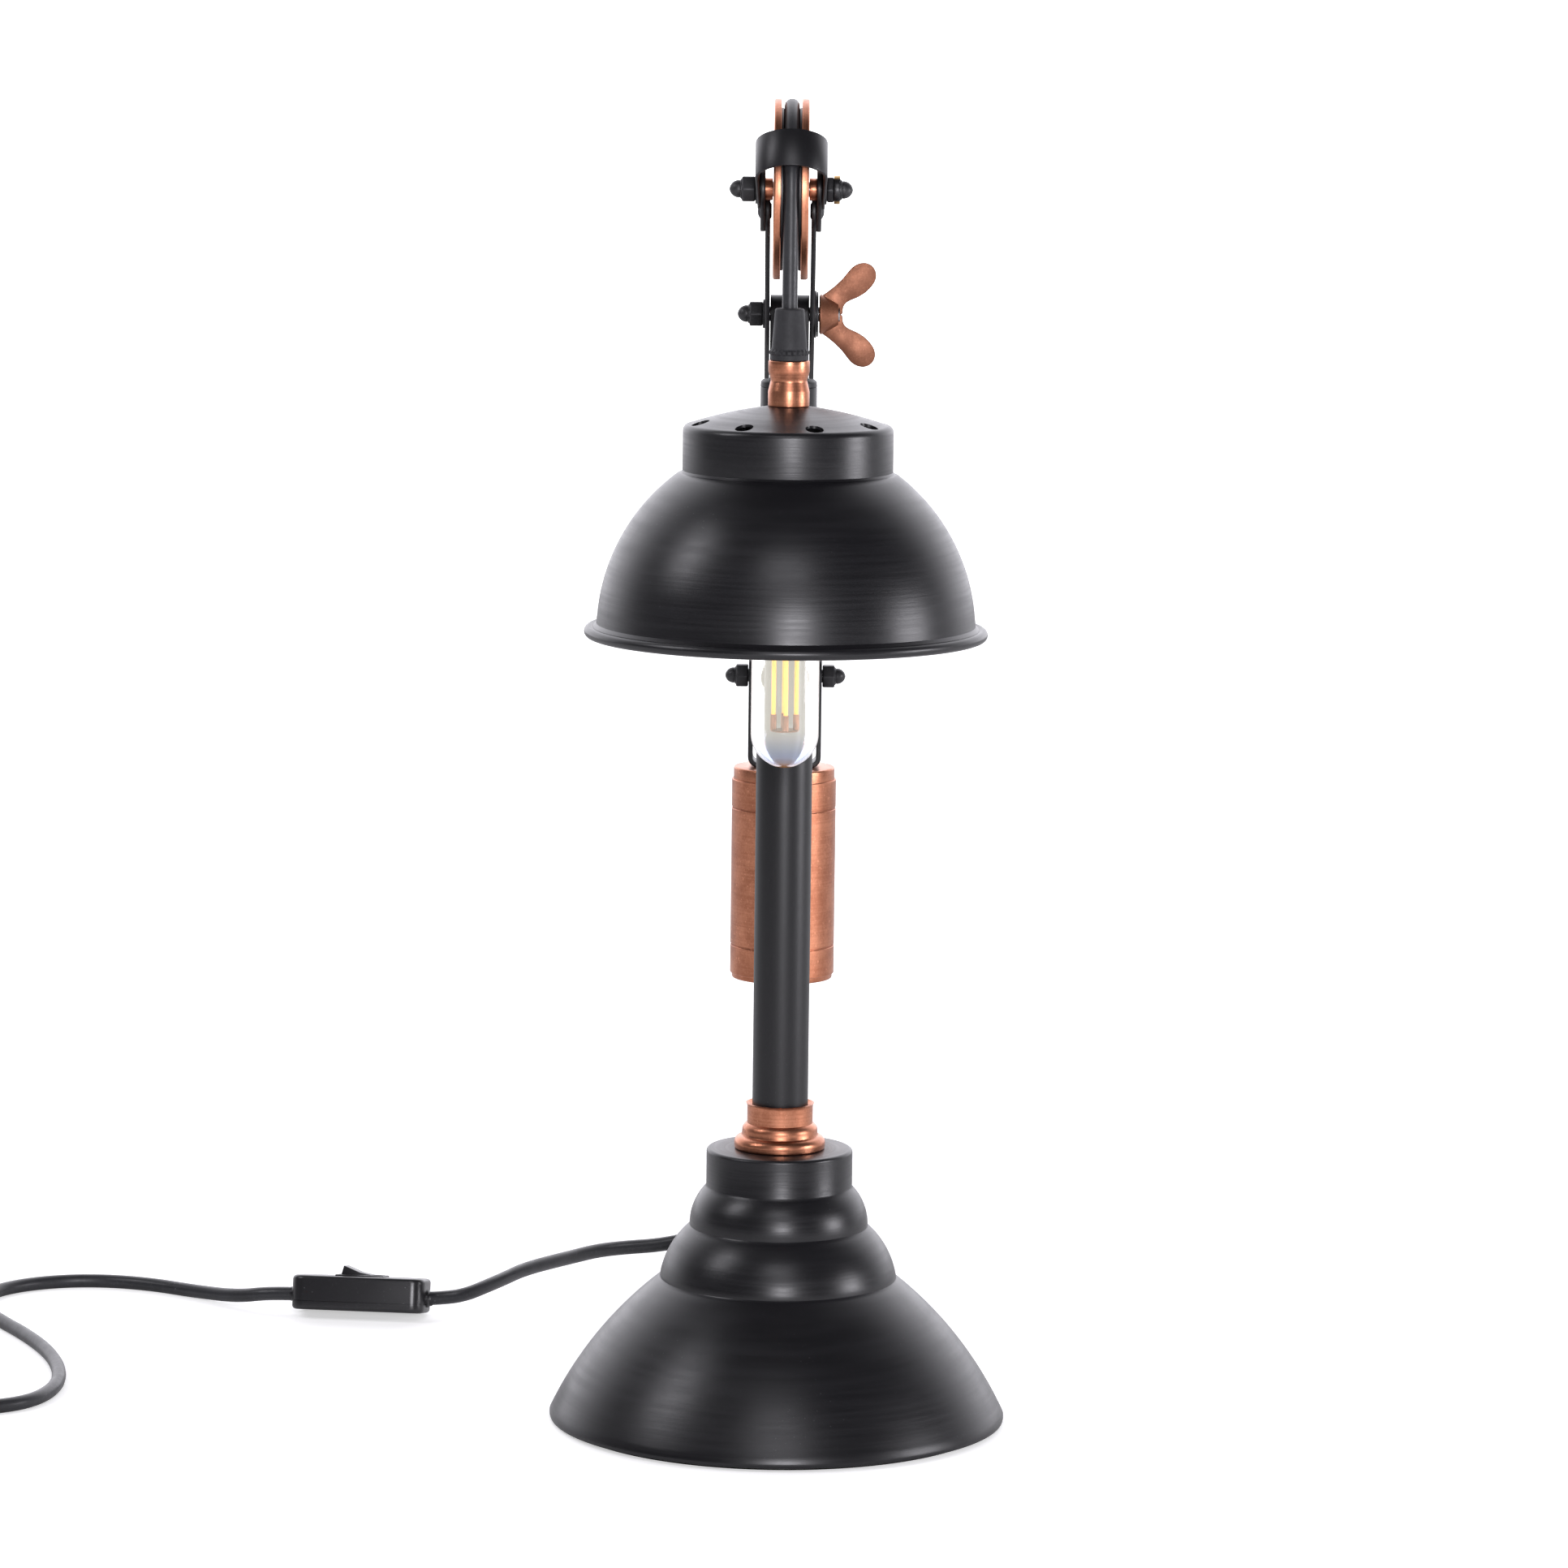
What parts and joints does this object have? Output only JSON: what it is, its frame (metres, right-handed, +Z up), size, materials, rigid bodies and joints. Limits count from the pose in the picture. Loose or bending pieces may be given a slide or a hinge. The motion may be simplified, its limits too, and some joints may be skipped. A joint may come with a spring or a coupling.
{
  "type": "industrial pipe table lamp",
  "caption": "Table lamp with a stepped round base, pipe stem, tilting two-bar arm, pulley-hung bell shade and hanging copper counterweight, on a corded in-line switch.",
  "frame": {"origin": "centre of the base on the surface it stands on", "axes": "+Z up the stem, -Y to the front where the shade hangs, +X right seen from the front"},
  "size_m": [0.6508, 0.4748, 0.5632],
  "materials": {
    "black_paint": "satin black powder coat",
    "copper": "antique brushed copper plate",
    "dark_iron": "as cast",
    "steel": "zinc plated",
    "brass": "turned",
    "black_rubber": "matt",
    "cord_sheath": "satin",
    "black_plastic": "satin",
    "felt": "felt",
    "clear_glass": "clear",
    "filament": "phosphor coated sticks"
  },
  "bodies": {
    "base": {"base_shell": "black_paint", "base_pad": "felt", "base_ballast": "dark_iron", "mains_gland": "black_rubber", "stem_fitting": "copper", "stem_nipple": "steel", "stem_lock_nut": "steel", "stem_pipe": "black_paint", "stem_grub_screws": "steel", "stem_head": "black_paint", "flex_grommet": "black_rubber", "flex_in_stem": "cord_sheath", "switch_shell_low": "black_plastic", "switch_shell_top": "black_plastic", "mains_cord_near": "cord_sheath", "mains_cord_far": "cord_sheath", "mains_cord_tail": "cord_sheath", "mains_coil": "cord_sheath", "plug_body": "black_rubber", "plug_pins": "steel"},
    "rocker": {"switch_rocker": "black_plastic"},
    "arm": {"arm_bar_right": "black_paint", "arm_bar_left": "black_paint", "pulley_cheek_right": "black_paint", "pulley_cheek_left": "black_paint", "cheek_rivets": "black_paint", "axle_bolt": "steel", "axle_cap_nuts": "black_paint", "axle_lock_ring": "brass", "axle_spacers": "copper", "keeper_strap": "black_paint", "pivot_bolt": "steel", "pivot_cap_nut": "black_paint", "pivot_washers": "black_paint", "rear_bolt": "steel", "rear_cap_nuts": "black_paint", "rear_spacers": "black_paint", "flex_over_pulley": "cord_sheath"},
    "pulley": {"pulley_core": "black_plastic", "pulley_flange_right": "copper", "pulley_flange_left": "copper"},
    "wing_nut": {"wing_nut": "copper"},
    "counterweight": {"weight_bail": "copper", "weight_cap_top": "copper", "weight_cap_low": "copper", "weight_tube": "copper", "weight_slug": "dark_iron", "weight_screw": "copper"},
    "shade": {"shade_shell": "black_paint", "shade_neck": "copper", "neck_ring": "black_plastic", "flex_relief": "black_rubber", "flex_drop": "cord_sheath", "holder_nipple": "steel", "holder_cap": "black_plastic", "holder_barrel": "black_plastic", "bulb_glass": "clear_glass", "bulb_cap": "steel", "bulb_post": "clear_glass", "bulb_filaments": "filament"}
  },
  "joints": [
    {"name": "arm_tilt", "type": "hinge", "parent": "base", "child": "arm", "pos_m": [0, 0, 0.4713], "axis": [1, 0, 0], "range_deg": [-10, 35], "deforming": ["flex_in_stem"]},
    {"name": "wing_nut_turn", "type": "hinge", "parent": "arm", "child": "wing_nut", "pos_m": [0, 0, 0.4713], "axis": [1, 0, 0], "range_deg": [0, 180]},
    {"name": "pulley_spin", "type": "hinge", "parent": "arm", "child": "pulley", "pos_m": [0, -0.07802, 0.52654], "axis": [1, 0, 0], "continuous": true},
    {"name": "shade_hang", "type": "hinge", "parent": "arm", "child": "shade", "pos_m": [0, -0.07802, 0.52654], "axis": [1, 0, 0], "range_deg": [-35, 10], "deforming": ["flex_over_pulley"]},
    {"name": "weight_swing", "type": "hinge", "parent": "arm", "child": "counterweight", "pos_m": [0, 0.2579, 0.2887], "axis": [1, 0, 0], "range_deg": [-50, 50]},
    {"name": "switch_rock", "type": "hinge", "parent": "base", "child": "rocker", "pos_m": [-0.18978, 0.19334, 0.01685], "axis": [-0.12, -0.9743, 0.1908], "range_deg": [0, 24]}
  ],
  "couplings": [
    {"joint": "shade_hang", "follows": "arm_tilt", "ratio": -1}
  ]
}
